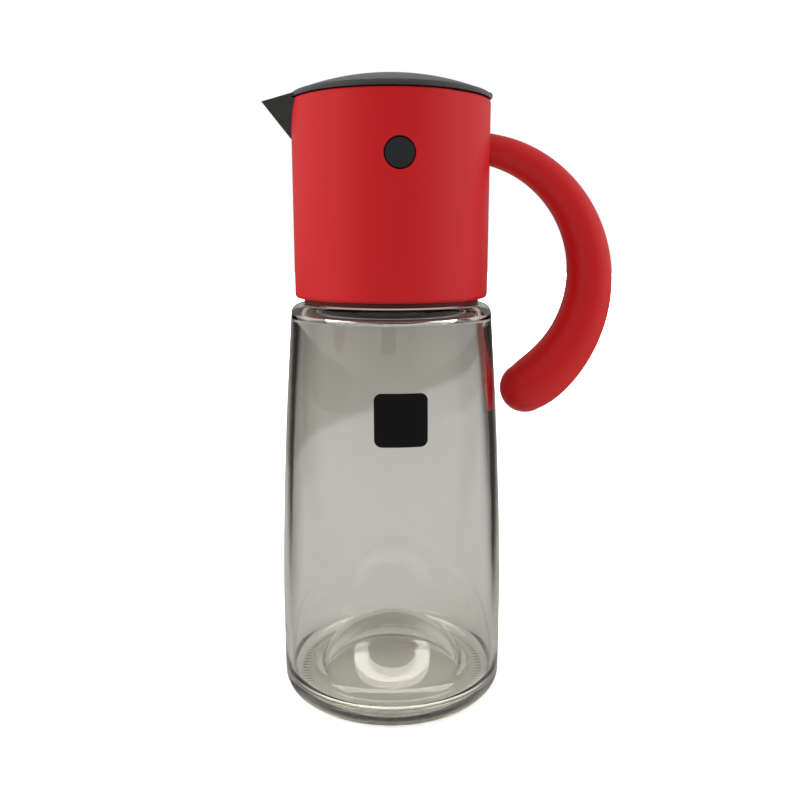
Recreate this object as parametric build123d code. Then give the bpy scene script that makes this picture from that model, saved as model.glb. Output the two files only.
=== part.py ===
from build123d import *
import os
from math import atan2, cos, degrees, radians, sin, sqrt

# An oil dispenser: a glass bottle, a collar with a handle that screws on its neck, a beak
# that pours, and a domed lid that a hanging weight opens when the dispenser is tilted.
# Millimetres. +Z is up from the foot, the beak points to -X and the handle to +X.

# Glass bottle
body_radius = 42.83
heel_radius = 5.9
foot_ring_width = 4.0
punt_rise = 19.0
punt_root = 8.0
glass_wall = 2.8
glass_floor = 6.0
floor_corner = 5.0
taper_start = 36.0
taper_power = 1.5
taper_stations = 7
shoulder_radius = 37.3
shoulder_height = 150.7
shoulder_corner = 3.4
neck_wall = 2.8
neck_height = 18.4
neck_bead_depth = 1.4
neck_bead_height = 2.2
lip_rounding = 0.8

# Screw thread of the neck and of the sleeve, one start, right-handed
thread_lead = 4.23
thread_turns = 1.25
thread_depth = 1.2
thread_root_width = 2.4
thread_crest_width = 0.9
thread_overlap = 0.3
thread_start = 7.4
thread_flank_gap = 0.35
thread_clearance = 0.4
sleeve_thread_turns = 1.0

# Label
label_side = 18.3
label_corner = 2.5
label_height = 114.1
label_thickness = 0.2
label_gap = 0.03

# Collar
collar_radius = 35.65
collar_wall = 2.35
collar_height = 68.9
shoulder_gap = 2.2
collar_bottom_rounding = 1.4
collar_top_rounding = 0.5
stop_rib_depth = 1.3
stop_rib_height = 2.0

# Threaded sleeve, keyed and snapped into the collar
sleeve_fit = 0.1
sleeve_wall = 1.6
sleeve_recess = 1.1
sleeve_flange = 2.0
sleeve_foot_gap = 0.4
sleeve_bead_gap = 1.0
key_count = 4
key_width = 2.0
key_depth = 0.6
key_clearance = 0.1
snap_bead_height = 1.2
snap_bead_depth = 0.35
snap_bead_lift = 3.0

# Gasket on the glass lip and seal of the insert
gasket_thickness = 1.5
gasket_inset = 0.2
gasket_overhang = 1.0
seal_section = 2.1
seal_gap = 0.07
seal_groove_play = 0.15

# Spout insert
insert_wall = 1.8
insert_floor = 2.6
annulus = 2.1
flange_clearance = 0.3
insert_flange_height = 3.0
insert_recess = 0.2
spigot_gap = 1.2
spigot_wall = 2.0
spigot_depth = 8.1
pour_hole_radius = 8.0
pour_hole_offset = 12.0
vent_bore = 2.0
vent_wall = 1.5
vent_height = 5.0
vent_offset_x = -2.0
vent_offset_y = 19.5

# Beak
beak_reach = 10.35
beak_drop = 12.9
beak_half_width = 13.3
beak_rise = 1.5
beak_wall = 1.5
beak_inset_slope = 0.6
notch_clearance = 0.25

# Release buttons in the two side holes
button_height = 20.3
button_hole_radius = 5.25
button_hole_rounding = 0.3
button_radius = 4.9
button_recess = 0.45
button_edge = 0.35
button_flange_radius = 6.4
button_flange_thickness = 1.6
button_stem_radius = 2.0
button_stem_length = 3.2
button_play = 0.28
pocket_clearance = 0.3
pocket_wall = 1.5
spring_length = 6.5
spring_wire = 0.8
spring_radius = 3.0
spring_turns = 4.5
spring_end_gap = 0.05

# Lid
lid_overhang = 0.5
lid_lift = 0.3
lid_edge = 0.6
lid_edge_rounding = 1.5
lid_dome_rise = 6.65
lid_shell = 2.0
skirt_gap = 1.0
skirt_wall = 1.2
skirt_depth = 3.5
liner_thickness = 1.2
liner_clearance = 0.2
liner_sink = 0.7
boss_radius = 3.5
boss_circle = 18.0
boss_angles = (75.0, 180.0, 285.0)
lid_gasket_play = 0.3
lid_gasket_depth = 0.4
lid_gasket_height = 1.8
lid_gasket_sink = 1.1
nose_clearance = 0.45
nose_recess = 0.15
nose_thickness = 1.45
nose_root = 2.2

# Lid hinge at the rear rim
hinge_setback = 1.65
barrel_radius = 1.35
hinge_pin_radius = 0.75
pin_running_fit = 0.05
pin_seat_fit = 0.02
knuckle_half_width = 3.0
knuckle_gap = 0.3
lid_knuckle_width = 4.7
heel_relief_half_width = 11.0
web_length = 3.1

# Counterweight and its arms
weight_radius = 7.0
weight_excess = 0.6
weight_clearance = 0.1
tube_wall = 1.1
weight_drop = 38.0
weight_setback = 18.6
arm_inset = 2.0
arm_thickness = 2.2
arm_top_width = 12.0
arm_bottom_width = 8.0
plug_thickness = 1.6

# Handle
handle_centre_x = 27.6
handle_root_drop = 15.48
handle_arc_radius = 48.0
handle_root_angle = 84.0
handle_end_angle = -59.5
handle_root_half = 5.45
handle_swell_per_degree = 0.0368
handle_swell_end = -46.0
handle_end_half = 9.7
handle_stations = 9
tenon_width = 6.4
tenon_height = 7.6
tenon_sink = 2.0
tenon_clearance = 0.1
handle_seat_gap = 0.02
plate_thickness = 0.9
plate_fit = 0.02
plate_half_width = 4.0
plate_half_height = 6.5
handle_screw_spacing = 4.8
handle_screw_radius = 1.0
handle_screw_length = 9.0
handle_screw_head_radius = 2.1
handle_screw_head = 0.9
screw_hole_clearance = 0.2

# Screws of the lid's liner
lid_screw_radius = 1.3
lid_screw_length = 5.2
lid_screw_head_radius = 2.6
lid_screw_head = 1.6
screw_bite = 0.02

# Values that follow from those above
foot_radius = body_radius - heel_radius
taper_end = shoulder_height - shoulder_corner
lip_height = shoulder_height + neck_height
collar_bottom = shoulder_height + shoulder_gap
rim = collar_bottom + collar_height
collar_bore = collar_radius - collar_wall
sleeve_radius = collar_bore - sleeve_fit
sleeve_bore = sleeve_radius - sleeve_wall
neck_radius = sleeve_bore - thread_clearance - thread_depth
neck_bore = neck_radius - neck_wall
sleeve_foot_radius = neck_radius + neck_bead_depth + sleeve_bead_gap
spigot_radius = neck_bore - spigot_gap
sleeve_bottom = collar_bottom + sleeve_recess
sleeve_flange_bottom = lip_height + gasket_thickness
sleeve_top = sleeve_flange_bottom + sleeve_flange
insert_radius = collar_bore - annulus
insert_bore = insert_radius - insert_wall
skirt_radius = insert_bore - skirt_gap
lid_gasket_radius = insert_bore - lid_gasket_play
insert_flange_radius = collar_bore - flange_clearance
insert_top = rim - insert_recess
floor_top = sleeve_top + insert_floor
button_z = rim - button_height
pocket_radius = button_flange_radius + pocket_clearance
lid_radius = collar_radius + lid_overhang
lid_bottom = rim + lid_lift
liner_top = rim - liner_sink
hinge_x = collar_radius - hinge_setback
hinge_z = lid_bottom + barrel_radius
weight_x = hinge_x - weight_setback
weight_length = insert_bore + weight_excess
arm_half_spacing = weight_length / 2 - arm_inset
weight_z = hinge_z - weight_drop
tube_bore = weight_radius + weight_clearance
tube_radius = tube_bore + tube_wall
tube_half = weight_length / 2 + plug_thickness
thread_slope = (thread_root_width - thread_crest_width) / thread_depth
thread_offset = thread_root_width - thread_slope * (sleeve_bore - neck_radius) / 2 + thread_flank_gap
beak_root_depth = sqrt(collar_radius**2 - beak_half_width**2)
flange_face = sqrt(collar_bore**2 - button_flange_radius**2) - button_play
flange_back = flange_face - button_flange_thickness
pocket_floor = flange_back - spring_length
seal_bottom = sleeve_top - seal_section - 2 * seal_groove_play
seal_major = neck_bore - seal_gap - seal_section / 2
tenon_z = rim - handle_root_drop
handle_centre_height = tenon_z - sqrt(handle_arc_radius**2 - (collar_radius - handle_centre_x) ** 2)
handle_screw_heights = (tenon_z - handle_screw_spacing / 2, tenon_z + handle_screw_spacing / 2)
screw_seat_x = sqrt((collar_bore - plate_thickness) ** 2 - handle_screw_head_radius**2) - screw_bite
dome_base = lid_bottom + lid_edge + lid_edge_rounding
dome_edge = lid_radius - lid_edge_rounding
dome_radius = (dome_edge**2 + lid_dome_rise**2) / (2 * lid_dome_rise)
gasket_low = lid_bottom - lid_gasket_sink - lid_gasket_height
boss_places = [(boss_circle * cos(radians(a)), boss_circle * sin(radians(a))) for a in boss_angles]

STANDING = (Align.CENTER, Align.CENTER, Align.MIN)
FAR = 200.0


def disc(radius, bottom, top):
    """A cylinder on the bottle's axis between two heights."""
    return Pos(0, 0, bottom) * Cylinder(radius, top - bottom, align=STANDING)


def ring(outer, inner, bottom, top):
    """A round tube on the bottle's axis between two heights."""
    return disc(outer, bottom, top) - disc(inner, bottom, top)


def slab(x_from, x_to, y_from, y_to, z_from, z_to):
    """A block between two limits on each axis."""
    middle = ((x_from + x_to) / 2, (y_from + y_to) / 2, (z_from + z_to) / 2)
    return Pos(*middle) * Box(x_to - x_from, y_to - y_from, z_to - z_from)


def rod_y(radius, x, z, y_from, y_to):
    """A cylinder along Y between two stations."""
    return Pos(x, y_from, z) * Rot(-90, 0, 0) * Cylinder(radius, y_to - y_from, align=STANDING)


def rod_x(radius, y, z, x_from, x_to):
    """A cylinder along X between two stations."""
    return Pos(x_from, y, z) * Rot(0, 90, 0) * Cylinder(radius, x_to - x_from, align=STANDING)


def rod_z(radius, x, y, z_from, z_to):
    """A cylinder along Z between two heights."""
    return Pos(x, y, z_from) * Cylinder(radius, z_to - z_from, align=STANDING)


def turned(*lines):
    """A solid of revolution about the bottle's axis from its closed half outline."""
    return revolve(Plane.XZ * make_face(list(lines)), Axis.Z)


def quarter(centre_r, centre_z, radius, from_angle, to_angle):
    """A circular arc of a half outline, between two angles in degrees."""
    angles = (from_angle, (from_angle + to_angle) / 2, to_angle)
    points = [(centre_r + radius * cos(radians(a)), centre_z + radius * sin(radians(a))) for a in angles]
    return ThreePointArc(*points)


def crown(edge, base, rise):
    """The arc of a ball's cap from its edge up to its top on the axis."""
    radius = (edge**2 + rise**2) / (2 * rise)
    half_height = base + rise - radius + sqrt(radius**2 - edge**2 / 4)
    return ThreePointArc((edge, base), (edge / 2, half_height), (0, base + rise))


# The glass bottle and its label


def punt_curve(edge, base):
    """The half outline of the base's raised middle: a ball's cap that flares into the flat around it."""
    radius = (edge**2 + punt_rise**2) / (2 * punt_rise) - punt_root
    slope = atan2(edge, radius + punt_root - punt_rise)
    cap_edge = radius * sin(slope)
    cap_base = base + punt_rise - radius + radius * cos(slope)
    return (
        quarter(edge, base + punt_root, punt_root, -90, -90 - degrees(slope)),
        crown(cap_edge, cap_base, base + punt_rise - cap_base),
    )


def wall_radius(height):
    """The bottle's outer radius at a height of its tapered wall."""
    share = max(0.0, (height - taper_start) / (taper_end - taper_start))
    return body_radius - (body_radius - shoulder_radius) * share**taper_power


def taper(inset, top):
    """The curve of the tapered wall up to a height, moved inward by an inset."""
    step = (top - taper_start) / (taper_stations - 1)
    heights = [taper_start + step * i for i in range(taper_stations)]
    return Spline([(wall_radius(z) - inset, z) for z in heights])


def bottle_outside():
    """The bottle's outer form up to its shoulder."""
    corner_r = shoulder_radius - shoulder_corner
    return turned(
        Line((0, 0), (foot_radius, 0)),
        quarter(foot_radius, heel_radius, heel_radius, -90, 0),
        Line((body_radius, heel_radius), (body_radius, taper_start)),
        taper(0, taper_end),
        quarter(corner_r, taper_end, shoulder_corner, 0, 90),
        Line((corner_r, shoulder_height), (0, shoulder_height)),
        Line((0, shoulder_height), (0, 0)),
    )


def bottle_cavity():
    """The space inside the bottle, below the neck's bore."""
    inside = body_radius - glass_wall
    floor_edge = inside - floor_corner
    corner_top = glass_floor + floor_corner
    roof = shoulder_height - glass_wall
    wall_top = roof - shoulder_corner
    roof_edge = wall_radius(wall_top) - glass_wall - shoulder_corner
    return turned(
        *punt_curve(floor_edge, glass_floor),
        quarter(floor_edge, corner_top, floor_corner, -90, 0),
        Line((inside, corner_top), (inside, taper_start)),
        taper(glass_wall, wall_top),
        quarter(roof_edge, wall_top, shoulder_corner, 0, 90),
        Line((roof_edge, roof), (0, roof)),
        Line((0, roof), (0, glass_floor + punt_rise)),
    )


def punt():
    """The hollow under the bottle, inside the ring that it stands on."""
    edge = foot_radius - foot_ring_width
    return turned(
        Line((0, 0), (edge, 0)),
        *punt_curve(edge, 0),
        Line((0, punt_rise), (0, 0)),
    )


def thread_ridge(root_radius, depth, turns, base):
    """A helical ridge on a wall; a negative depth points to the axis."""
    path = Helix(thread_lead, thread_lead * turns, root_radius, center=(0, 0, base))
    buried = -thread_overlap if depth > 0 else thread_overlap
    profile = Polyline(
        (buried, -thread_root_width / 2),
        (depth, -thread_crest_width / 2),
        (depth, thread_crest_width / 2),
        (buried, thread_root_width / 2),
        close=True,
    )
    section = Plane(origin=path @ 0, x_dir=(1, 0, 0), z_dir=path % 0) * make_face(profile)
    return sweep(section, path=path, is_frenet=True)


def glass_bottle():
    """The bottle with its threaded neck."""
    inside_shoulder = shoulder_height - glass_wall
    neck = disc(neck_radius, inside_shoulder, lip_height)
    neck = fillet(neck.edges().group_by(Axis.Z)[-1], lip_rounding)
    bead = disc(neck_radius + neck_bead_depth, inside_shoulder, shoulder_height + neck_bead_height)
    bead = fillet(bead.edges().group_by(Axis.Z)[-1], neck_bead_depth / 2)
    solid = bottle_outside() + neck + bead
    solid = solid - bottle_cavity() - punt()
    solid = solid - disc(neck_bore, inside_shoulder - glass_wall, lip_height)
    thread_base = shoulder_height + thread_start
    return solid + thread_ridge(neck_radius, thread_depth, thread_turns, thread_base)


def bottle_label():
    """The thin label that follows the glass on the front."""
    heights = [label_height + label_side * share for share in (-1, 0, 1)]
    inner = [(wall_radius(z) + label_gap, z) for z in heights]
    outer = [(r + label_thickness, z) for r, z in reversed(inner)]
    band = revolve(Plane.XZ * make_face(Polyline(*inner, *outer, close=True)), Axis.Z)
    outline = Plane.XZ * Pos(0, label_height) * RectangleRounded(label_side, label_side, label_corner)
    return band & extrude(outline, amount=FAR, dir=(0, -1, 0))


# The sleeve that screws on the neck, and the gasket under its flange


def threaded_sleeve():
    """The sleeve with its inner thread, its keys, its snap bead and the foot that shows under the collar."""
    solid = ring(sleeve_radius, sleeve_bore, sleeve_bottom, sleeve_top)
    solid = solid + ring(sleeve_radius, neck_bore, sleeve_flange_bottom, sleeve_top)
    solid = solid + ring(sleeve_foot_radius, sleeve_bore, shoulder_height + sleeve_foot_gap, sleeve_bottom)
    key = slab(
        sleeve_bore + sleeve_wall / 2,
        sleeve_radius + key_depth,
        -key_width / 2,
        key_width / 2,
        sleeve_bottom,
        sleeve_top,
    )
    for i in range(key_count):
        solid = solid + Rot(0, 0, (i + 0.5) * 360 / key_count) * key
    solid = solid + snap_bead(sleeve_radius, snap_bead_depth, snap_bead_height)
    base = shoulder_height + thread_start - thread_offset
    return solid + thread_ridge(sleeve_bore, -thread_depth, sleeve_thread_turns, base)


def snap_bead(root_radius, depth, height):
    """A ring with a sloping outer face, which snaps into a groove."""
    middle = sleeve_bottom + snap_bead_lift
    inner = root_radius - sleeve_wall / 2
    return revolve(
        Plane.XZ
        * make_face(
            Polyline(
                (inner, middle - height / 2),
                (root_radius, middle - height / 2),
                (root_radius + depth, middle),
                (root_radius, middle + height / 2),
                (inner, middle + height / 2),
                close=True,
            )
        ),
        Axis.Z,
    )


def neck_gasket():
    """The flat ring between the glass lip and the sleeve's flange."""
    return ring(neck_radius + gasket_overhang, neck_bore + gasket_inset, lip_height, sleeve_flange_bottom)


# The beak's forms, shared by the collar's notch, the insert and the lid's nose


def beak_side_normal():
    """The normal of the beak's side plane that faces +Y, pointing outward."""
    tip = Vector(-(collar_radius + beak_reach), 0, 0)
    keel = Vector(-collar_radius, 0, -beak_drop)
    corner = Vector(-beak_root_depth, beak_half_width, beak_rise)
    normal = (keel - tip).cross(corner - tip).normalized()
    return normal if normal.Y > 0 else -normal


def beak_form(inset, base_x):
    """The beak as a pyramid back to a plane, with its side faces moved inward by an inset."""
    normal = beak_side_normal()
    back = inset / (abs(normal.X) + beak_inset_slope * abs(normal.Z))
    apex = Vector(-(collar_radius + beak_reach) + back, 0, rim + beak_inset_slope * back)
    length = base_x - apex.X
    keel = apex + Vector(1, 0, -beak_drop / beak_reach) * length
    run = collar_radius + beak_reach - beak_root_depth
    corners = [apex + Vector(1, s * beak_half_width / run, beak_rise / run) * length for s in (-1, 1)]
    base = [keel, *corners]
    sides = [Face(Wire.make_polygon([apex, base[i - 1], base[i]])) for i in range(len(base))]
    return Solid(Shell([Face(Wire.make_polygon(base)), *sides]))


def root_height(y):
    """The height, from the rim, of the line where the beak's side leaves the collar."""
    normal = beak_side_normal()
    run = collar_radius + beak_reach - sqrt(collar_radius**2 - y**2)
    return -(normal.X * run + normal.Y * y) / normal.Z


def root_prism(outset, x_from, x_to):
    """The beak's root as a V section along X, with its sides moved outward by an outset."""
    side = Vector(beak_half_width, beak_drop + beak_rise, 0).normalized()
    normal = Vector(side.Y, -side.X, 0)
    keel = (0, rim - beak_drop - outset / side.X)
    middle = Vector(beak_half_width / 2, rim + root_height(beak_half_width / 2), 0) + normal * outset
    corner = Vector(beak_half_width, rim + beak_rise, 0) + normal * outset
    right = ThreePointArc(keel, (middle.X, middle.Y), (corner.X, corner.Y))
    left = ThreePointArc(keel, (-middle.X, middle.Y), (-corner.X, corner.Y))
    top = rim + FAR
    sides = Polyline((corner.X, corner.Y), (corner.X, top), (-corner.X, top), (-corner.X, corner.Y))
    section = make_face([right, sides, left])
    return extrude(Plane.YZ.offset(x_from) * section, amount=x_to - x_from, dir=(1, 0, 0))


# The collar


def is_button_mouth(edge):
    """Whether an edge of the collar is the outer mouth of a button's hole."""
    box = edge.bounding_box()
    outside = max(abs(box.min.Y), abs(box.max.Y)) > collar_radius - button_hole_rounding
    level = abs((box.min.Z + box.max.Z) / 2 - button_z) < button_hole_rounding
    return outside and level and box.max.Z - box.min.Z < button_hole_radius * 3


def collar_shell():
    """The red collar with its notch, its button holes and its grooves for the sleeve."""
    solid = disc(collar_radius, collar_bottom, rim)
    solid = fillet(solid.edges().group_by(Axis.Z)[0], collar_bottom_rounding)
    solid = fillet(solid.edges().group_by(Axis.Z)[-1], collar_top_rounding)
    solid = solid - disc(collar_bore, collar_bottom, rim)
    rib_radius = collar_radius - collar_wall / 2
    solid = solid + ring(rib_radius, collar_bore - stop_rib_depth, sleeve_top, sleeve_top + stop_rib_height)
    solid = solid - root_prism(notch_clearance, -FAR, -insert_bore)
    solid = solid - rod_y(button_hole_radius, 0, button_z, -FAR, FAR)
    mouths = [e for e in solid.edges() if is_button_mouth(e)]
    solid = fillet(mouths, button_hole_rounding)
    groove = slab(
        0,
        sleeve_radius + key_depth + key_clearance,
        -key_width / 2 - key_clearance,
        key_width / 2 + key_clearance,
        collar_bottom,
        sleeve_top,
    )
    for i in range(key_count):
        solid = solid - Rot(0, 0, (i + 0.5) * 360 / key_count) * groove
    solid = solid - snap_bead(collar_bore, snap_bead_depth, snap_bead_height + key_clearance * 2)
    half_width = tenon_width / 2 + tenon_clearance
    half_height = tenon_height / 2 + tenon_clearance
    return solid - slab(0, FAR, -half_width, half_width, tenon_z - half_height, tenon_z + half_height)


# The handle and what holds it


def handle_half(angle):
    """The handle's half thickness at an angle of its arc."""
    swell = handle_root_half + handle_swell_per_degree * (handle_root_angle - max(angle, handle_swell_end))
    if angle >= handle_swell_end:
        return swell
    share = (handle_swell_end - angle) / (handle_swell_end - handle_end_angle)
    return swell + (handle_end_half - swell) * share


def handle_place(angle):
    """The section plane of the handle at an angle of its arc."""
    outward = Vector(cos(radians(angle)), 0, sin(radians(angle)))
    along = Vector(sin(radians(angle)), 0, -cos(radians(angle)))
    centre = Vector(handle_centre_x, 0, handle_centre_height) + outward * handle_arc_radius
    return Plane(origin=centre, x_dir=outward, z_dir=along)


def handle():
    """The C-shaped handle, with its tenon and the pilot holes of its screws."""
    step = (handle_root_angle - handle_swell_end) / (handle_stations - 1)
    angles = [handle_root_angle - step * i for i in range(handle_stations)] + [handle_end_angle]
    sections = [handle_place(angle) * Circle(handle_half(angle)) for angle in angles]
    solid = loft(sections) + handle_place(handle_end_angle) * Sphere(handle_end_half)
    solid = solid - disc(collar_radius + handle_seat_gap, collar_bottom, rim)
    tenon = slab(
        collar_bore,
        collar_radius + tenon_sink,
        -tenon_width / 2,
        tenon_width / 2,
        tenon_z - tenon_height / 2,
        tenon_z + tenon_height / 2,
    )
    solid = solid + tenon
    for z in handle_screw_heights:
        solid = solid - rod_x(handle_screw_radius + screw_bite, 0, z, 0, screw_seat_x + handle_screw_length)
    return solid


def handle_backing_plate():
    """The curved plate that the screws pull against the collar's wall."""
    low = tenon_z - plate_half_height
    solid = ring(collar_bore - plate_fit, collar_bore - plate_thickness, low, low + 2 * plate_half_height)
    solid = solid & slab(0, FAR, -plate_half_width, plate_half_width, collar_bottom, rim)
    for z in handle_screw_heights:
        solid = solid - rod_x(handle_screw_radius + screw_hole_clearance, 0, z, 0, FAR)
    return solid


def handle_screws():
    """The two screws of the handle, with their heads inside the collar."""
    screws = []
    for z in handle_screw_heights:
        head = rod_x(handle_screw_head_radius, 0, z, screw_seat_x - handle_screw_head, screw_seat_x)
        under_head = screw_seat_x - handle_screw_head / 2
        shank = rod_x(handle_screw_radius, 0, z, under_head, screw_seat_x + handle_screw_length)
        screws.append(head + shank)
    return screws[0] + screws[1]


# The spout insert and its seal


def pocket(radius, y_from, y_to):
    """A round form along both sides of the insert, at the height of the buttons."""
    return rod_y(radius, 0, button_z, y_from, y_to) + rod_y(radius, 0, button_z, -y_to, -y_from)


def beak_body():
    """The beak with its root, before its channel is cut."""
    outside = beak_form(0, -beak_root_depth + beak_wall) - disc(collar_radius, collar_bottom, rim + FAR)
    root = root_prism(0, -collar_radius - beak_reach, -insert_bore + insert_wall)
    root = root & disc(collar_radius, collar_bottom, insert_top)
    return outside + root - disc(lid_radius + flange_clearance, insert_top, rim + FAR)


def beak_channel():
    """The space that the oil runs through, from the insert's inside to the beak's tip."""
    outside = beak_form(beak_wall, -beak_root_depth + beak_wall)
    outside = outside - disc(collar_radius - beak_wall, collar_bottom, rim + FAR)
    root = root_prism(-beak_wall, -collar_radius - beak_wall, -insert_bore / 2)
    return outside + (root & disc(collar_radius, collar_bottom, rim + FAR))


def spout_insert():
    """The cup that stands on the sleeve, with its spigot, its beak and the pockets of the buttons."""
    spigot_bottom = sleeve_top - spigot_depth
    boss = pocket_radius + pocket_wall
    solid = disc(insert_radius, sleeve_top, insert_top)
    solid = solid + disc(insert_flange_radius, insert_top - insert_flange_height, insert_top)
    solid = solid + disc(spigot_radius, spigot_bottom, sleeve_top)
    solid = solid + (pocket(boss, 0, FAR) & disc(insert_flange_radius, floor_top, insert_top))
    solid = solid + beak_body()
    solid = solid - (disc(insert_bore, floor_top, rim) - pocket(boss, pocket_floor - pocket_wall, FAR))
    solid = solid - disc(spigot_radius - spigot_wall, spigot_bottom, sleeve_top)
    solid = solid - pocket(pocket_radius, pocket_floor, FAR)
    seal_seat = seal_major - seal_section / 2
    solid = solid - ring(spigot_radius + seal_section, seal_seat, seal_bottom, sleeve_top)
    solid = solid - beak_channel()
    vent_top = floor_top + vent_height
    solid = solid + rod_z(vent_bore + vent_wall, vent_offset_x, vent_offset_y, sleeve_top, vent_top)
    solid = solid - rod_z(vent_bore, vent_offset_x, vent_offset_y, sleeve_top, vent_top)
    solid = solid - rod_z(pour_hole_radius, -pour_hole_offset, 0, sleeve_top, floor_top)
    return solid + insert_knuckle()


def insert_knuckle():
    """The middle knuckle of the lid's hinge, on its web above the rear of the rim."""
    web_front = hinge_x - web_length
    half = knuckle_half_width
    web = slab(web_front, insert_flange_radius, -half, half, insert_top - insert_recess, hinge_z)
    web = web & disc(insert_flange_radius, collar_bottom, rim + FAR)
    arm = slab(web_front, hinge_x, -half, half, lid_bottom, hinge_z)
    barrel = rod_y(barrel_radius, hinge_x, hinge_z, -half, half)
    return web + arm + barrel - rod_y(hinge_pin_radius + pin_running_fit, hinge_x, hinge_z, -half, half)


def insert_seal():
    """The O-ring on the insert's spigot."""
    return Pos(0, 0, (seal_bottom + sleeve_top) / 2) * Torus(seal_major, seal_section / 2)


# The release buttons and their springs, built on the back and turned for the front


def release_button():
    """A button with its cap in the collar's hole, its flange behind the wall and its stem."""
    cap = rod_y(button_radius, 0, button_z, flange_back, collar_radius - button_recess)
    cap = fillet(cap.edges().group_by(Axis.Y)[-1], button_edge)
    flange = rod_y(button_flange_radius, 0, button_z, flange_back, flange_face)
    stem = rod_y(button_stem_radius, 0, button_z, flange_back - button_stem_length, flange_back)
    return cap + flange + stem


def button_spring():
    """The coil spring between the pocket's floor and the button's flange."""
    height = spring_length - spring_wire - spring_end_gap * 2
    start = (0, pocket_floor + spring_wire / 2 + spring_end_gap, button_z)
    path = Helix(height / spring_turns, height, spring_radius, center=start, direction=(0, 1, 0))
    section = Plane(origin=path @ 0, z_dir=path % 0) * Circle(spring_wire / 2)
    return sweep(section, path=path, is_frenet=True)


# The lid and what hangs under it


def lid_shell_form():
    """The lid's dome, its edge and its skirt with the gasket's groove, as one turned form."""
    skirt_inner = skirt_radius - skirt_wall
    skirt_bottom = lid_bottom - skirt_depth
    groove = skirt_radius - lid_gasket_depth
    dome_top = dome_base + lid_dome_rise
    hollow_top = dome_top - lid_shell
    hollow_edge = dome_top - dome_radius + sqrt((dome_radius - lid_shell) ** 2 - skirt_inner**2)
    return turned(
        crown(dome_edge, dome_base, lid_dome_rise),
        quarter(dome_edge, lid_bottom + lid_edge, lid_edge_rounding, 0, 90),
        Polyline(
            (lid_radius, lid_bottom + lid_edge),
            (lid_radius, lid_bottom),
            (skirt_radius, lid_bottom),
            (skirt_radius, gasket_low + lid_gasket_height),
            (groove, gasket_low + lid_gasket_height),
            (groove, gasket_low),
            (skirt_radius, gasket_low),
            (skirt_radius, skirt_bottom),
            (skirt_inner, skirt_bottom),
            (skirt_inner, hollow_edge),
        ),
        crown(skirt_inner, hollow_edge, hollow_top - hollow_edge),
        Line((0, hollow_top), (0, dome_top)),
    )


def lid_nose():
    """The plate on the lid's front that covers the beak's channel between its walls."""
    form = beak_form(beak_wall + nose_clearance, -lid_radius + nose_root)
    slope = degrees(atan2(beak_rise, collar_radius + beak_reach - beak_root_depth))
    plate = slab(0, FAR, -beak_half_width, beak_half_width, -nose_recess - nose_thickness, -nose_recess)
    return form & (Pos(-(collar_radius + beak_reach), 0, rim) * Rot(0, -slope, 0) * plate)


def hinge_knuckles():
    """The lid's two hinge barrels, on both sides of the insert's knuckle."""
    inner = knuckle_half_width + knuckle_gap
    outer = inner + lid_knuckle_width
    barrels = rod_y(barrel_radius, hinge_x, hinge_z, inner, outer)
    return barrels + rod_y(barrel_radius, hinge_x, hinge_z, -outer, -inner)


def hinge_relief():
    """What the lid leaves free at its rear edge for the hinge to turn."""
    gap = knuckle_half_width + knuckle_gap
    bottom = lid_bottom - skirt_depth
    heel = slab(hinge_x, FAR, -heel_relief_half_width, heel_relief_half_width, bottom, hinge_z)
    heel = heel - rod_y(barrel_radius, hinge_x, hinge_z, -heel_relief_half_width, heel_relief_half_width)
    around = rod_y(barrel_radius + knuckle_gap, hinge_x, hinge_z, -gap, gap)
    web = slab(hinge_x - web_length - knuckle_gap, hinge_x, -gap, gap, bottom, hinge_z + knuckle_gap)
    return heel + around + web


def lid_cover():
    """The domed lid with its skirt, its bosses, its nose and its hinge barrels."""
    solid = lid_shell_form()
    ball = Sphere(dome_radius - lid_shell / 2)
    inner_ball = Pos(0, 0, dome_base + lid_dome_rise - dome_radius) * ball
    for x, y in boss_places:
        boss = rod_z(boss_radius, x, y, liner_top, rim + FAR) & inner_ball
        pilot = rod_z(lid_screw_radius + screw_bite, x, y, liner_top, liner_top + lid_screw_length)
        solid = solid + boss - pilot
    solid = solid - hinge_relief() + hinge_knuckles() + lid_nose()
    outer = knuckle_half_width + knuckle_gap + lid_knuckle_width
    return solid - rod_y(hinge_pin_radius + pin_seat_fit, hinge_x, hinge_z, -outer, lid_radius)


def hinge_pin():
    """The steel pin through the three knuckles."""
    half = knuckle_half_width + knuckle_gap + lid_knuckle_width - pin_running_fit
    return rod_y(hinge_pin_radius, hinge_x, hinge_z, -half, half)


def lid_gasket():
    """The soft ring around the lid's skirt."""
    inner = skirt_radius - lid_gasket_depth
    return ring(lid_gasket_radius, inner, gasket_low, gasket_low + lid_gasket_height)


def weight_arm(y):
    """One of the two arms that carry the weight's tube."""
    outline = Polyline(
        (weight_x - arm_top_width / 2, liner_top - liner_thickness / 2),
        (weight_x + arm_top_width / 2, liner_top - liner_thickness / 2),
        (weight_x + arm_bottom_width / 2, weight_z),
        (weight_x - arm_bottom_width / 2, weight_z),
        close=True,
    )
    section = Plane.XZ.offset(-y - arm_thickness / 2) * make_face(outline)
    return extrude(section, amount=arm_thickness, dir=(0, -1, 0))


def lid_liner():
    """The disc that closes the lid from below, with the arms and the tube of the weight."""
    liner_bottom = liner_top - liner_thickness
    solid = disc(skirt_radius - skirt_wall - liner_clearance, liner_bottom, liner_top)
    for x, y in boss_places:
        solid = solid - rod_z(lid_screw_radius + screw_hole_clearance, x, y, liner_bottom, liner_top)
    for y in (-arm_half_spacing, arm_half_spacing):
        solid = solid + weight_arm(y)
    solid = solid + rod_y(tube_radius, weight_x, weight_z, -tube_half, tube_half)
    return solid - rod_y(tube_bore, weight_x, weight_z, -weight_length / 2, tube_half)


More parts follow.
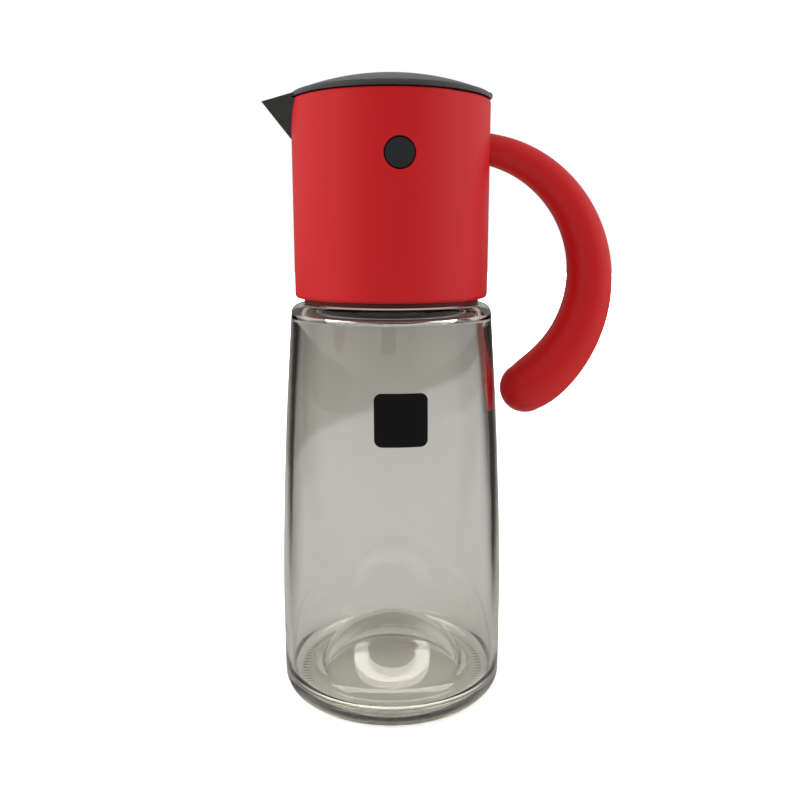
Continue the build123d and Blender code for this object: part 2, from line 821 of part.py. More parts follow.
def counterweight():
    """The steel cylinder in the tube."""
    return rod_y(weight_radius, weight_x, weight_z, -weight_length / 2, weight_length / 2)


def weight_plug():
    """The plug that closes the tube's open end."""
    return rod_y(tube_bore - screw_bite, weight_x, weight_z, weight_length / 2, tube_half)


def lid_screws():
    """The three screws that hold the liner to the lid's bosses."""
    screws = Part()
    seat = liner_top - liner_thickness
    for x, y in boss_places:
        head = rod_z(lid_screw_head_radius, x, y, seat - lid_screw_head, seat)
        shank = rod_z(lid_screw_radius, x, y, seat - lid_screw_head / 2, liner_top + lid_screw_length)
        screws = screws + head + shank
    return screws


os.makedirs("parts", exist_ok=True)
back_button = release_button()
back_spring = button_spring()
nodes = {
    "glass_bottle": glass_bottle(),
    "bottle_label": bottle_label(),
    "neck_gasket": neck_gasket(),
    "threaded_sleeve": threaded_sleeve(),
    "collar_shell": collar_shell(),
    "handle": handle(),
    "handle_backing_plate": handle_backing_plate(),
    "handle_screws": handle_screws(),
    "spout_insert": spout_insert(),
    "insert_seal": insert_seal(),
    "release_button_front": Rot(0, 0, 180) * back_button,
    "release_button_back": back_button,
    "button_spring_front": Rot(0, 0, 180) * back_spring,
    "button_spring_back": back_spring,
    "lid_cover": lid_cover(),
    "hinge_pin": hinge_pin(),
    "lid_gasket": lid_gasket(),
    "lid_liner": lid_liner(),
    "lid_screws": lid_screws(),
    "counterweight": counterweight(),
    "weight_plug": weight_plug(),
}
for name, shape in nodes.items():
    export_step(shape, f"parts/{name}.step")
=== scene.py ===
import math

import bpy
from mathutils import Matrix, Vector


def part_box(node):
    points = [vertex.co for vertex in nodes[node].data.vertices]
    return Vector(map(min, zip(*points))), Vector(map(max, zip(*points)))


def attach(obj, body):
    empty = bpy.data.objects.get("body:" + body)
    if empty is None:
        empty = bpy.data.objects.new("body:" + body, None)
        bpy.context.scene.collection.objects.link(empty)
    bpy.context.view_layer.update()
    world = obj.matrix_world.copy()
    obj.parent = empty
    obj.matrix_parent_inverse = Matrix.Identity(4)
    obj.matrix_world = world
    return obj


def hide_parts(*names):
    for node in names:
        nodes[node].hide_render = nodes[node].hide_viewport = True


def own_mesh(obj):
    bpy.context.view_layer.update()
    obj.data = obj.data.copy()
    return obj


# An oil dispenser on a white floor: smoked glass bottle, red collar and handle, black beak
# and domed lid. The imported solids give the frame. Sizes are millimetres unless a name or a
# comment says metres, and Blender's objects are in metres.

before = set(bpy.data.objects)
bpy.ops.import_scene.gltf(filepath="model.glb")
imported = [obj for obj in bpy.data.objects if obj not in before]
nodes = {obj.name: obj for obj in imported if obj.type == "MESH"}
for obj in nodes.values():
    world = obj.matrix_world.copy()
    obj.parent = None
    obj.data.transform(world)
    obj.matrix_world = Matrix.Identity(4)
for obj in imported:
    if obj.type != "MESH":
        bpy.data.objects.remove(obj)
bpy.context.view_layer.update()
MM = 0.001

# Sizes of the glass bottle, as in the part's source
BODY_RADIUS = 42.83
HEEL_RADIUS = 5.9
FOOT_RING_WIDTH = 4.0
PUNT_RISE = 19.0
PUNT_ROOT = 8.0
GLASS_WALL = 2.8
GLASS_FLOOR = 6.0
FLOOR_CORNER = 5.0
TAPER_START = 36.0
TAPER_POWER = 1.5
SHOULDER_RADIUS = 37.3
SHOULDER_HEIGHT = 150.7
SHOULDER_CORNER = 3.4
NECK_RADIUS = 30.0
NECK_WALL = 2.8
NECK_HEIGHT = 18.4
NECK_BEAD_DEPTH = 1.4
NECK_BEAD_HEIGHT = 2.2
LIP_ROUNDING = 0.8
THREAD_LEAD = 4.23
THREAD_TURNS = 1.25
THREAD_DEPTH = 1.2
THREAD_ROOT = 2.4
THREAD_CREST = 0.9
THREAD_START = 7.4

# The glass's fine forms, which the part leaves out
FOOT_RIBS = 96
RIB_DEPTH = 0.2
RIPPLE_DEPTH = 0.12
RIPPLE_LENGTH = 28
GLASS_COLUMNS = 4 * FOOT_RIBS

# Sizes of the springs and the screws; the head's rounding is a share of its height, the cross of its
# radius and the tip of the shank's radius
SPRING_WIRE = 0.8
SPRING_TURNS = 4.5
HANDLE_SCREW_HEAD_RADIUS = 2.1
HANDLE_SCREW_HEAD = 0.9
HANDLE_SCREW_RADIUS = 1.0
LID_SCREW_HEAD_RADIUS = 2.6
LID_SCREW_HEAD = 1.6
LID_SCREW_RADIUS = 1.3
LID_SCREW_CIRCLE = 18.0
LID_SCREW_ANGLES = (75, 180, 285)
SCREW_PITCH = 0.7
SCREW_THREAD = 0.22
SCREW_COLUMNS = 32
HEAD_ROUNDING = 0.4
TIP_SHARE = 0.3
CROSS_LENGTH = 1.1
CROSS_WIDTH = 0.26

# Points closer than this are one point, and a point this near a radius lies on it
MERGE_WITHIN = 0.002
ON_RADIUS = 0.01

# The window in front of the object, which the base's raised middle mirrors: its limits
# across and above the table in degrees, and its glow
WINDOW_ACROSS = (-125, 120)
WINDOW_ABOVE = (43, 62)
WINDOW_GLOW = (8.0, 7.8, 7.3, 1)

# The floor's zones: distances from the axis in metres, slopes as ratios, and directions in degrees
# where the name says so
FAR_SLANT = -1.1
FAR_EDGE = (0.48, 0.54)
SIDE_LEAN = 0.35
SIDE_EDGE = (0.045, 0.13)
SIDE_DEGREES = (62, 84)
# UNDER_EDGE and the three HEEL limits bound the painted light under the glass and by the heel
UNDER_EDGE = (0.036, 0.05)
HEEL_INSIDE = (0.036, 0.041)
HEEL_OUTSIDE = (0.048, 0.062)
HEEL_FRONT = (-0.03, -0.01)
HORIZON_EDGE = (0.5, 1.2)
FLOOR_RADIUS = 4.0
FLOOR_SIDES = 128

# The floor's shades. Some are above one, to make up for light that can't reach under the glass; the shade under
# the glass and the one by the heel are painted light.
NEAR_SHADE = "#c4c2bc"
FAR_SHADE = "#a8a69c"
SIDE_SHADE = "#3a3835"
BOUNCE_SHADE = "#f0eeea"
UNDER_GLASS_PAINTED_LIGHT = (0.62, 0.61, 0.57, 1)
HEEL_PAINTED_LIGHT = (1.9, 1.87, 1.77, 1)
WHITE_SHEET = (1.6, 1.6, 1.6, 1)
WHITE_HORIZON = (5, 5, 5, 1)

# The lamps and the camera, in metres, watts and degrees
LAMPS = (
    ("left_window", (-0.95, -0.1, 0.4), (0, 0, 0.14), 1.1, 6.8),
    ("right_window", (0.95, -0.15, 0.15), (0, 0, 0.14), 1.1, 6.6),
    ("top_fill", (0, -0.1, 0.9), (0, 0, 0.1), 0.9, 1.6),
)
CAMERA_PLACE = (-0.0254, -0.3092, 0.1746)
CAMERA_TURN = (78.85, 0, -5.3)
LENS = 37.08
SENSOR = 36

SEED = 7


def linear(hex_colour):
    """An sRGB hex colour as Blender's linear RGBA."""
    parts = [int(hex_colour[i:i + 2], 16) / 255 for i in (1, 3, 5)]
    return [*(c / 12.92 if c <= 0.04045 else ((c + 0.055) / 1.055) ** 2.4 for c in parts), 1.0]


def add(tree, kind, inputs=None, **settings):
    """Adds one node: its settings, its input values, and links for inputs given as sockets."""
    node = tree.nodes.new(kind)
    for name, value in settings.items():
        setattr(node, name, value)
    for name, value in (inputs or {}).items():
        if isinstance(value, bpy.types.NodeSocket):
            tree.links.new(value, node.inputs[name])
        else:
            node.inputs[name].default_value = value
    return node


def maths(tree, operation, *values):
    """The result of one Math node."""
    return add(tree, "ShaderNodeMath", dict(enumerate(values)), operation=operation).outputs[0]


def product(tree, value, *others):
    """Several values multiplied together."""
    for other in others:
        value = maths(tree, "MULTIPLY", value, other)
    return value


def blend(tree, share, low, high):
    """The colour at a share of the way between two colours."""
    return add(tree, "ShaderNodeMix", {0: share, 6: low, 7: high}, data_type="RGBA").outputs[2]


def soft_step(tree, value, low, high, from_value=0.0, to_value=1.0):
    """A smooth change between two values while the input goes from low to high."""
    return add(tree, "ShaderNodeMapRange", {
        "Value": value,
        "From Min": low,
        "From Max": high,
        "To Min": from_value,
        "To Max": to_value,
    }, interpolation_type="SMOOTHSTEP").outputs["Result"]


def bumps(tree, height, depth_mm):
    """A surface normal, uneven by a height map of a given depth."""
    return add(tree, "ShaderNodeBump", {
        "Height": height,
        "Strength": 1.0,
        "Distance": depth_mm * MM,
    }).outputs["Normal"]


def blank_material(name):
    """A material with an empty node tree, and the tree."""
    made = bpy.data.materials.new(name)
    made.use_nodes = True
    made.node_tree.nodes.clear()
    return made, made.node_tree


def surface(tree, shader, volume=None):
    """Ends a material tree in its output."""
    out = add(tree, "ShaderNodeOutputMaterial", {"Surface": shader})
    if volume:
        tree.links.new(volume, out.inputs["Volume"])


def dress(node_name, made):
    """Gives a CAD piece its material."""
    mesh = nodes[node_name].data
    mesh.materials.clear()
    mesh.materials.append(made)


# Materials


def moulded_plastic(name, hex_a, hex_b, roughness, grain_mm, grain_depth_mm, shine=0.5, dust=None):
    """An injection-moulded plastic: two close shades in soft clouds, fine mould grain, even gloss."""
    made, tree = blank_material(name)
    place = add(tree, "ShaderNodeTexCoord").outputs["Object"]
    clouds = add(tree, "ShaderNodeTexNoise", {"Vector": place, "Scale": 1000 / 30, "Detail": 3.0})
    shade = blend(tree, clouds.outputs["Fac"], linear(hex_a), linear(hex_b))
    if dust:
        shade = blend(tree, specks(tree, place), shade, linear(dust))
    grain = add(tree, "ShaderNodeTexNoise", {
        "Vector": place,
        "Scale": 1000 / grain_mm,
        "Detail": 2.0,
        "Roughness": 0.6,
    })
    gloss = add(tree, "ShaderNodeMapRange", {
        "Value": grain.outputs["Fac"],
        "From Min": 0.3,
        "From Max": 0.7,
        "To Min": roughness - 0.04,
        "To Max": roughness + 0.04,
    })
    shader = add(tree, "ShaderNodeBsdfPrincipled", {
        "Base Color": shade,
        "Roughness": gloss.outputs["Result"],
        "Normal": bumps(tree, grain.outputs["Fac"], grain_depth_mm),
        "IOR": 1.53,
        "Specular IOR Level": shine,
    })
    surface(tree, shader.outputs["BSDF"])
    return made


def specks(tree, place):
    """Where a few grains of dust about 0.3 mm wide lie, one in some of the 9 mm cells."""
    cells = add(tree, "ShaderNodeTexVoronoi", {"Vector": place, "Scale": 1000 / 9})
    near = maths(tree, "LESS_THAN", cells.outputs["Distance"], 0.018)
    chance = add(tree, "ShaderNodeSeparateColor", {"Color": cells.outputs["Color"]}).outputs["Red"]
    return product(tree, near, maths(tree, "GREATER_THAN", chance, 0.6), 0.55)


def smoked_glass():
    """Moulded soda-lime glass with a grey-brown tint: clear and glossy, darker where it is thick."""
    made, tree = blank_material("smoked_soda_lime_glass")
    place = add(tree, "ShaderNodeTexCoord").outputs["Object"]
    ripple = add(tree, "ShaderNodeTexNoise", {"Vector": place, "Scale": 1000 / 14, "Detail": 1.0})
    glass = add(tree, "ShaderNodeBsdfPrincipled", {
        "Base Color": (1, 1, 1, 1),
        "Roughness": 0.02,
        "IOR": 1.52,
        "Transmission Weight": 1.0,
        "Normal": bumps(tree, ripple.outputs["Fac"], 0.03),
    })
    rays = add(tree, "ShaderNodeLightPath")
    passing = add(tree, "ShaderNodeBsdfTransparent", {"Color": linear("#f1f0ec")})
    mixed = add(tree, "ShaderNodeMixShader", {
        0: rays.outputs["Is Shadow Ray"],
        1: glass.outputs["BSDF"],
        2: passing.outputs["BSDF"],
    })
    tint = add(tree, "ShaderNodeVolumeAbsorption", {"Color": (0.55, 0.55, 0.46, 1), "Density": 25.0})
    surface(tree, mixed.outputs["Shader"], tint.outputs["Volume"])
    return made


def turned_steel():
    """Stainless steel with fine turning marks, 0.4 mm apart."""
    made, tree = blank_material("turned_stainless_steel")
    place = add(tree, "ShaderNodeTexCoord").outputs["Object"]
    marks = add(tree, "ShaderNodeTexNoise", {"Vector": place, "Scale": 1000 / 0.4, "Detail": 3.0})
    gloss = add(tree, "ShaderNodeMapRange", {
        "Value": marks.outputs["Fac"],
        "To Min": 0.2,
        "To Max": 0.32,
    })
    shader = add(tree, "ShaderNodeBsdfPrincipled", {
        "Base Color": linear("#c4c4c2"),
        "Metallic": 1.0,
        "Roughness": gloss.outputs["Result"],
        "Normal": bumps(tree, marks.outputs["Fac"], 0.004),
    })
    surface(tree, shader.outputs["BSDF"])
    return made


def silicone():
    """Translucent food-grade silicone: milky, soft and half matt."""
    made, tree = blank_material("milky_silicone")
    place = add(tree, "ShaderNodeTexCoord").outputs["Object"]
    clouds = add(tree, "ShaderNodeTexNoise", {"Vector": place, "Scale": 1000 / 6, "Detail": 2.0})
    shader = add(tree, "ShaderNodeBsdfPrincipled", {
        "Base Color": blend(tree, clouds.outputs["Fac"], linear("#c9c7c0"), linear("#d8d6cf")),
        "Roughness": 0.48,
        "IOR": 1.41,
        "Subsurface Weight": 0.4,
        "Subsurface Radius": (0.002, 0.002, 0.0018),
        "Subsurface Scale": 1.0,
        "Normal": bumps(tree, clouds.outputs["Fac"], 0.02),
    })
    surface(tree, shader.outputs["BSDF"])
    return made


# The bottle's glass, turned from its half outline


def wall_radius(height):
    """The bottle's outer radius at a height of its tapered wall."""
    share = max(0.0, (height - TAPER_START) / (SHOULDER_HEIGHT - SHOULDER_CORNER - TAPER_START))
    return BODY_RADIUS - (BODY_RADIUS - SHOULDER_RADIUS) * share ** TAPER_POWER


def arc(centre_r, centre_z, radius, from_angle, to_angle, steps):
    """Points of a circular arc of a half outline; the angles are in degrees."""
    angles = [math.radians(from_angle + (to_angle - from_angle) * i / steps) for i in range(steps + 1)]
    return [(centre_r + radius * math.cos(a), centre_z + radius * math.sin(a)) for a in angles]


def straight(r_from, z_from, r_to, z_to, steps):
    """Points of a straight run of a half outline, without its two ends."""
    return [
        (r_from + (r_to - r_from) * i / steps, z_from + (z_to - z_from) * i / steps)
        for i in range(1, steps)
    ]


def punt_arc(edge, base):
    """The base's raised middle, from the axis out to its edge: a ball's cap that flares into the flat."""
    radius = (edge ** 2 + PUNT_RISE ** 2) / (2 * PUNT_RISE) - PUNT_ROOT
    slope = math.degrees(math.asin(edge / (radius + PUNT_ROOT)))
    cap = arc(0, base + PUNT_RISE - radius, radius, 90, 90 - slope, 24)
    return cap[:-1] + arc(edge, base + PUNT_ROOT, PUNT_ROOT, 270 - slope, 270, 10)


def outer_outline():
    """The glass's outer half outline, from the middle of its underside up to the lip."""
    foot = BODY_RADIUS - HEEL_RADIUS
    taper_end = SHOULDER_HEIGHT - SHOULDER_CORNER
    corner = SHOULDER_RADIUS - SHOULDER_CORNER
    lip = SHOULDER_HEIGHT + NECK_HEIGHT
    bead = NECK_RADIUS + NECK_BEAD_DEPTH
    half = NECK_BEAD_DEPTH / 2
    bead_top = SHOULDER_HEIGHT + NECK_BEAD_HEIGHT
    lip_edge = NECK_RADIUS - LIP_ROUNDING
    heights = [TAPER_START + (taper_end - TAPER_START) * i / 28 for i in range(28)]
    points = punt_arc(foot - FOOT_RING_WIDTH, 0)
    points += straight(foot - FOOT_RING_WIDTH, 0, foot, 0, 4)
    points += arc(foot, HEEL_RADIUS, HEEL_RADIUS, -90, 0, 12)
    points += straight(BODY_RADIUS, HEEL_RADIUS, BODY_RADIUS, TAPER_START, 6)
    points += [(wall_radius(z), z) for z in heights]
    points += arc(corner, taper_end, SHOULDER_CORNER, 0, 90, 8)
    points += straight(corner, SHOULDER_HEIGHT, bead, SHOULDER_HEIGHT, 3)
    points += [(bead, SHOULDER_HEIGHT)]
    points += arc(bead - half, bead_top - half, half, 0, 90, 5)
    points += [(NECK_RADIUS, bead_top)]
    points += straight(NECK_RADIUS, bead_top, NECK_RADIUS, lip - LIP_ROUNDING, 40)
    return points + arc(lip_edge, lip - LIP_ROUNDING, LIP_ROUNDING, 0, 90, 5)


def inner_outline():
    """The glass's inner half outline, from the lip down to the middle of its floor."""
    bore = NECK_RADIUS - NECK_WALL
    lip = SHOULDER_HEIGHT + NECK_HEIGHT
    roof = SHOULDER_HEIGHT - GLASS_WALL
    wall_top = roof - SHOULDER_CORNER
    roof_edge = wall_radius(wall_top) - GLASS_WALL - SHOULDER_CORNER
    inside = BODY_RADIUS - GLASS_WALL
    floor_edge = inside - FLOOR_CORNER
    corner_top = GLASS_FLOOR + FLOOR_CORNER
    heights = [wall_top + (TAPER_START - wall_top) * i / 28 for i in range(1, 29)]
    points = arc(bore + LIP_ROUNDING / 2, lip - LIP_ROUNDING / 2, LIP_ROUNDING / 2, 90, 180, 4)
    points += straight(bore, lip, bore, roof + 1, 6)
    points += arc(bore + 1, roof + 1, 1, 180, 270, 4)
    points += straight(bore + 1, roof, roof_edge, roof, 3)
    points += arc(roof_edge, wall_top, SHOULDER_CORNER, 90, 0, 8)
    points += [(wall_radius(z) - GLASS_WALL, z) for z in heights]
    points += straight(inside, TAPER_START, inside, corner_top, 6)
    points += arc(floor_edge, corner_top, FLOOR_CORNER, 0, -90, 10)
    return points + punt_arc(floor_edge, GLASS_FLOOR)[-2::-1]


def line_object(name, points, path_radius):
    """A half outline as a line in the XY plane: X outward from the circle it is swept along, Y downward."""
    mesh = bpy.data.meshes.new(name)
    places = [((r - path_radius) * MM, -z * MM, 0) for r, z in points]
    mesh.from_pydata(places, [(i, i + 1) for i in range(len(points) - 1)], [])
    return bpy.data.objects.new(name, mesh)


def glass_outline():
    """The glass's half outline, marked where it is inside the bottle."""
    outer = outer_outline()
    inner = inner_outline()
    line = line_object("glass_half_outline", outer + inner, NECK_RADIUS)
    inside = line.data.attributes.new("inside", "FLOAT", "POINT")
    inside.data.foreach_set("value", [0.0] * len(outer) + [1.0] * len(inner))
    return line


def new_tree(name, inputs):
    """A geometry node tree with named inputs, given as {name: kind}, and those inputs' sockets."""
    tree = bpy.data.node_groups.new(name, "GeometryNodeTree")
    for title, kind in inputs.items():
        tree.interface.new_socket(title, in_out="INPUT", socket_type=kind)
    tree.interface.new_socket("Geometry", in_out="OUTPUT", socket_type="NodeSocketGeometry")
    return tree, add(tree, "NodeGroupInput").outputs


def grown(name, tree, values):
    """A plain mesh object made by a node tree with the given input values."""
    host = bpy.data.objects.new(name, bpy.data.meshes.new(name))
    bpy.context.scene.collection.objects.link(host)
    work = host.modifiers.new("grow", "NODES")
    work.node_group = tree
    sockets = {item.name: item.identifier for item in tree.interface.items_tree if item.in_out == "INPUT"}
    for title, value in values.items():
        work[sockets[title]] = value
    ready = host.evaluated_get(bpy.context.evaluated_depsgraph_get())
    mesh = bpy.data.meshes.new_from_object(ready)
    host.modifiers.clear()
    host.data = mesh
    return host


def thread_height(tree, sizes, height, turn):
    """How far the screw thread stands out of the neck at a height and a share of a turn."""
    lead = sizes["Thread lead"]
    rise = maths(tree, "DIVIDE", maths(tree, "SUBTRACT", height, sizes["Thread base"]), lead)
    whole = maths(tree, "ROUND", maths(tree, "SUBTRACT", rise, turn))
    along = maths(tree, "ADD", whole, turn)
    away = maths(tree, "MULTIPLY", maths(tree, "ABSOLUTE", maths(tree, "SUBTRACT", rise, along)), lead)
    flank = add(tree, "ShaderNodeMapRange", {
        "Value": away,
        "From Min": sizes["Thread crest"],
        "From Max": sizes["Thread root"],
        "To Min": 1.0,
        "To Max": 0.0,
    }).outputs["Result"]
    from_start = maths(tree, "MULTIPLY", along, 12.0)
    from_end = maths(tree, "MULTIPLY", maths(tree, "SUBTRACT", sizes["Thread turns"], along), 12.0)
    ends = maths(tree, "MINIMUM", maths(tree, "MINIMUM", from_start, from_end), 1.0)
    return product(tree, flank, maths(tree, "MAXIMUM", ends, 0.0), sizes["Thread depth"])


def turned(tree, outline, columns, path_radius):
    """An outline object's line turned round Z, with its faces outward and its poles closed."""
    line = add(tree, "GeometryNodeObjectInfo", {"Object": outline})
    profile = add(tree, "GeometryNodeMeshToCurve", {"Mesh": line.outputs["Geometry"]})
    path = add(tree, "GeometryNodeCurvePrimitiveCircle", {"Resolution": columns, "Radius": path_radius})
    swept = add(tree, "GeometryNodeCurveToMesh", {
        "Curve": path.outputs["Curve"],
        "Profile Curve": profile.outputs["Curve"],
    })
    faces = add(tree, "GeometryNodeFlipFaces", {"Mesh": swept.outputs["Mesh"]})
    closed = add(tree, "GeometryNodeMergeByDistance", {
        "Geometry": faces.outputs["Mesh"],
        "Distance": MERGE_WITHIN * MM,
    })
    return closed.outputs["Geometry"]


def around_axis(tree):
    """A point's place, height, angle, share of a turn, distance from Z and outward direction, by name."""
    place = add(tree, "GeometryNodeInputPosition").outputs["Position"]
    parts = add(tree, "ShaderNodeSeparateXYZ", {"Vector": place}).outputs
    flat = add(tree, "ShaderNodeCombineXYZ", {"X": parts["X"], "Y": parts["Y"]}).outputs["Vector"]
    angle = maths(tree, "ARCTAN2", parts["Y"], parts["X"])
    return {
        "place": place,
        "height": parts["Z"],
        "angle": angle,
        "turn": maths(tree, "FRACT", maths(tree, "ADD", maths(tree, "DIVIDE", angle, 2 * math.pi), 1.0)),
        "radius": add(tree, "ShaderNodeVectorMath", {0: flat}, operation="LENGTH").outputs["Value"],
        "outward": add(tree, "ShaderNodeVectorMath", {0: flat}, operation="NORMALIZE").outputs["Vector"],
    }


def glass_tree():
    """The half outline turned round the axis, with the neck's thread, the foot's ribs and the ripple inside."""
    tree, sizes = new_tree("turned_glass", {
        "Outline": "NodeSocketObject",
        "Columns": "NodeSocketInt",
        "Path radius": "NodeSocketFloat",
        "Neck radius": "NodeSocketFloat",
        "Thread base": "NodeSocketFloat",
        "Thread lead": "NodeSocketFloat",
        "Thread turns": "NodeSocketFloat",
        "Thread depth": "NodeSocketFloat",
        "Thread crest": "NodeSocketFloat",
        "Thread root": "NodeSocketFloat",
        "Foot ring inside": "NodeSocketFloat",
        "Foot ribs": "NodeSocketFloat",
        "Rib depth": "NodeSocketFloat",
        "Ripple": "NodeSocketFloat",
        "Ripple length": "NodeSocketFloat",
        "Seed": "NodeSocketFloat",
        "Glass": "NodeSocketMaterial",
    })
    closed = turned(tree, sizes["Outline"], sizes["Columns"], sizes["Path radius"])
    at = around_axis(tree)
    marked = add(tree, "GeometryNodeInputNamedAttribute", {"Name": "inside"}, data_type="FLOAT")
    inside = marked.outputs["Attribute"]
    outside = maths(tree, "SUBTRACT", 1.0, inside)
    on_neck = maths(tree, "COMPARE", at["radius"], sizes["Neck radius"], ON_RADIUS * MM)
    thread = product(tree, thread_height(tree, sizes, at["height"], at["turn"]), on_neck, outside)
    wave = add(tree, "ShaderNodeTexNoise", {
        "W": sizes["Seed"],
        "Vector": at["place"],
        "Scale": maths(tree, "DIVIDE", 1.0, sizes["Ripple length"]),
        "Detail": 1.0,
    }, noise_dimensions="4D")
    ripple = product(tree, maths(tree, "SUBTRACT", wave.outputs["Fac"], 0.5), sizes["Ripple"], inside)
    outward = add(tree, "ShaderNodeVectorMath", {
        0: at["outward"],
        "Scale": maths(tree, "ADD", thread, ripple),
    }, operation="SCALE").outputs["Vector"]
    on_ring = product(
        tree,
        maths(tree, "GREATER_THAN", at["radius"], sizes["Foot ring inside"]),
        maths(tree, "LESS_THAN", at["height"], 0.001 * MM),
    )
    swing = maths(tree, "COSINE", maths(tree, "MULTIPLY", at["angle"], sizes["Foot ribs"]))
    rib = maths(tree, "MULTIPLY_ADD", swing, 0.5, 0.5)
    upward = add(tree, "ShaderNodeCombineXYZ", {"Z": product(tree, rib, on_ring, sizes["Rib depth"])})
    moved = add(tree, "ShaderNodeVectorMath", {0: outward, 1: upward.outputs["Vector"]}, operation="ADD")
    shaped = add(tree, "GeometryNodeSetPosition", {"Geometry": closed, "Offset": moved.outputs["Vector"]})
    return ended(tree, shaped.outputs["Geometry"], sizes["Glass"])


def ended(tree, geometry, finish):
    """Closes a tree: smooth shading, real geometry instead of instances, and the material."""
    smooth = add(tree, "GeometryNodeSetShadeSmooth", {"Geometry": geometry})
    whole = add(tree, "GeometryNodeRealizeInstances", {"Geometry": smooth.outputs["Geometry"]})
    done = add(tree, "GeometryNodeSetMaterial", {"Geometry": whole.outputs["Geometry"], "Material": finish})
    add(tree, "NodeGroupOutput", {"Geometry": done.outputs["Geometry"]})
    return tree


def bottle_glass(glass):
    """The bottle's glass, which takes the place of its solid."""
    outline = glass_outline()
    made = grown("smoked_glass_bottle", glass_tree(), {
        "Outline": outline,
        "Columns": GLASS_COLUMNS,
        "Path radius": NECK_RADIUS * MM,
        "Neck radius": NECK_RADIUS * MM,
        "Thread base": (SHOULDER_HEIGHT + THREAD_START) * MM,
        "Thread lead": THREAD_LEAD * MM,
        "Thread turns": THREAD_TURNS,
        "Thread depth": THREAD_DEPTH * MM,
        "Thread crest": THREAD_CREST / 2 * MM,
        "Thread root": THREAD_ROOT / 2 * MM,
        "Foot ring inside": (BODY_RADIUS - HEEL_RADIUS - FOOT_RING_WIDTH + 0.1) * MM,
        "Foot ribs": float(FOOT_RIBS),
        "Rib depth": RIB_DEPTH * MM,
        "Ripple": RIPPLE_DEPTH * MM,
        "Ripple length": RIPPLE_LENGTH * MM,
        "Seed": float(SEED),
        "Glass": glass,
    })
    bpy.data.objects.remove(outline)
    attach(made, "bottle")
    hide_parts("glass_bottle")


# The button springs and the screws


def coil_tree():
    """A coil spring along Y from a start, wound from round wire whose two cut ends are closed."""
    tree, sizes = new_tree("coil_spring", {
        "Start": "NodeSocketVector",
        "Height": "NodeSocketFloat",
        "Radius": "NodeSocketFloat",
        "Wire radius": "NodeSocketFloat",
        "Turns": "NodeSocketFloat",
        "Steel": "NodeSocketMaterial",
    })
    coil = add(tree, "GeometryNodeCurveSpiral", {
        "Resolution": 40,
        "Rotations": sizes["Turns"],
        "Start Radius": sizes["Radius"],
        "End Radius": sizes["Radius"],
        "Height": sizes["Height"],
    })
    placed = add(tree, "GeometryNodeTransform", {
        "Geometry": coil.outputs["Curve"],
        "Translation": sizes["Start"],
        "Rotation": (-math.pi / 2, 0, 0),
    })
    wire = add(tree, "GeometryNodeCurvePrimitiveCircle", {"Resolution": 12, "Radius": sizes["Wire radius"]})
    swept = add(tree, "GeometryNodeCurveToMesh", {
        "Curve": placed.outputs["Geometry"],
        "Profile Curve": wire.outputs["Curve"],
        "Fill Caps": True,
    })
    return ended(tree, swept.outputs["Mesh"], sizes["Steel"])


def button_springs(steel_wire):
    """The spring behind each button, in its solid's place."""
    tree = coil_tree()
    for side in ("front", "back"):
        low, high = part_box("button_spring_" + side)
        centre = (low + high) / 2
        length = high.y - low.y
        made = grown("coil_spring_" + side, tree, {
            "Start": (centre.x, low.y + SPRING_WIRE / 2 * MM, centre.z),
            "Height": length - SPRING_WIRE * MM,
            "Radius": (high.x - low.x) / 2 - SPRING_WIRE / 2 * MM,
            "Wire radius": SPRING_WIRE / 2 * MM,
            "Turns": SPRING_TURNS,
            "Steel": steel_wire,
        })
        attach(made, "head")
        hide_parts("button_spring_" + side)
        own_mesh(made)


def screw_outline(head_radius, head_height, shank_radius, length):
    """The half outline of a screw that points up from its head's outer face."""
    rounding = head_height * HEAD_ROUNDING
    shank_end = length - shank_radius
    points = [(0, 0)] + straight(0, 0, head_radius - rounding, 0, 5)
    points += arc(head_radius - rounding, rounding, rounding, -90, 0, 4)
    points += [(head_radius, head_height), (shank_radius, head_height)]
    points += straight(shank_radius, head_height, shank_radius, shank_end, 60)
    points += [(shank_radius, shank_end), (shank_radius * TIP_SHARE, length), (0, length)]
    return line_object("screw_half_outline", points, shank_radius)


